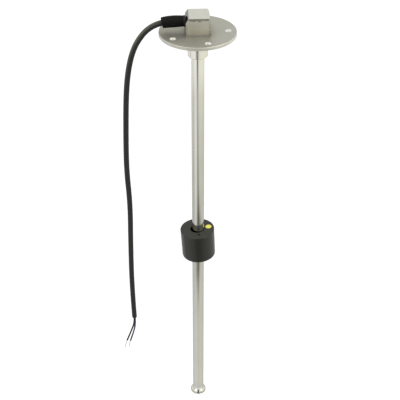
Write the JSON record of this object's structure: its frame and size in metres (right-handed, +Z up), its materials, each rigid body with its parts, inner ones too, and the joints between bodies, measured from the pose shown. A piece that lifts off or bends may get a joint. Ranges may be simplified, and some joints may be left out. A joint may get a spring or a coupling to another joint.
{
  "type": "fuel level sender",
  "caption": "Stem-type fuel level sender: a round flange plate with screw holes, a steel stem with a float that slides between its stops, a welded terminal housing and a cable.",
  "frame": {"origin": "centre of the flange plate's underside, where it seals on the tank", "axes": "+Z up along the stem's axis, out of the tank; the cable leaves the housing towards -X"},
  "size_m": [0.1165, 0.069, 0.468],
  "materials": {
    "stainless": "brushed",
    "grey_rubber": "matt",
    "black_rubber": "matt",
    "cable_jacket": "matt",
    "black_insulation": "matt",
    "blue_insulation": "matt",
    "tinned_copper": "tinned strands",
    "float_rubber": "matt",
    "yellow_mark": "satin",
    "magnet": "sintered",
    "board": "satin",
    "liner": "satin",
    "potting_resin": "satin",
    "reed_glass": "clear",
    "resistor_body": "matt"
  },
  "bodies": {
    "sender": {"black_core": "black_insulation", "black_lead": "black_insulation", "black_lead_tip": "tinned_copper", "blue_core": "blue_insulation", "blue_lead": "blue_insulation", "blue_lead_tip": "tinned_copper", "board_foot": "liner", "board_liner": "liner", "cable_grommet": "grey_rubber", "circuit_board": "board", "end_stop": "stainless", "flange_plate": "stainless", "housing_cover": "stainless", "housing_front_plate": "stainless", "housing_rear_plate": "stainless", "potting": "potting_resin", "reed_switch_01": "reed_glass", "reed_switch_02": "reed_glass", "reed_switch_03": "reed_glass", "reed_switch_04": "reed_glass", "reed_switch_05": "reed_glass", "reed_switch_06": "reed_glass", "reed_switch_07": "reed_glass", "reed_switch_08": "reed_glass", "reed_switch_09": "reed_glass", "reed_switch_10": "reed_glass", "reed_switch_11": "reed_glass", "reed_switch_12": "reed_glass", "reed_switch_13": "reed_glass", "reed_switch_14": "reed_glass", "reed_switch_15": "reed_glass", "reed_switch_16": "reed_glass", "resistor_01": "resistor_body", "resistor_02": "resistor_body", "resistor_03": "resistor_body", "resistor_04": "resistor_body", "resistor_05": "resistor_body", "resistor_06": "resistor_body", "resistor_07": "resistor_body", "resistor_08": "resistor_body", "resistor_09": "resistor_body", "resistor_10": "resistor_body", "resistor_11": "resistor_body", "resistor_12": "resistor_body", "resistor_13": "resistor_body", "resistor_14": "resistor_body", "resistor_15": "resistor_body", "resistor_16": "resistor_body", "signal_cable": "cable_jacket", "stem_tube": "stainless", "strain_relief_boot": "black_rubber", "upper_collar": "stainless"},
    "float": {"float_body": "float_rubber", "float_magnet": "magnet", "float_mark": "yellow_mark"}
  },
  "joints": [
    {"name": "float_slide", "type": "slide", "parent": "sender", "child": "float", "axis": [0, 0, 1], "range_m": [-0.199, 0.1926]}
  ]
}
